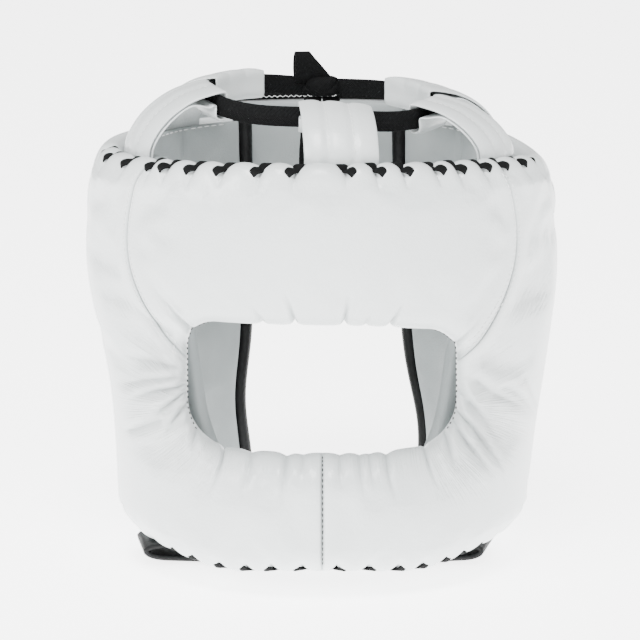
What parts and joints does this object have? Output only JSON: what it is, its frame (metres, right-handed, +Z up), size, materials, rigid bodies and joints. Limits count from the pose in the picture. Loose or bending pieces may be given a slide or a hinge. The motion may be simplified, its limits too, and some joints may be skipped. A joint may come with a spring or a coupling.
{
  "type": "boxing headgear",
  "caption": "Padded white leather boxing headgear with a face bar, lined wings, a back flap, a laced crown ring on leather loops and a chin strap",
  "frame": {"origin": "the middle of the crown lace ring, where the headgear sits on top of the head", "axes": "-Y is where the face looks, +X is to the right when it is seen from the front, +Z is up"},
  "size_m": [0.2383, 0.2404, 0.2467],
  "materials": {
    "white_leather": "smooth white coated leather, soft gloss, fine grain",
    "grey_lining": "matt grey-white lining leather",
    "black_lace": "flat woven black lace",
    "black_leather": "black leather strap and edge tape"
  },
  "bodies": {
    "root": {"forehead_pad": "white_leather", "side_pad_left": "white_leather", "side_pad_right": "white_leather", "side_lining_left": "grey_lining", "side_lining_right": "grey_lining", "wing_binding_left": "black_leather", "wing_binding_right": "black_leather", "back_panel": "white_leather", "back_panel_binding": "black_lace", "crown_lace": "black_lace", "crown_loop_front": "white_leather", "crown_loop_left_front": "white_leather", "crown_loop_left_rear": "white_leather", "crown_loop_right_front": "white_leather", "crown_loop_right_rear": "white_leather", "lace_knot": "black_lace", "lace_bow": "black_lace", "lace_tail_left": "black_lace", "lace_tail_right": "black_lace", "chin_strap": "black_leather"}
  },
  "joints": []
}
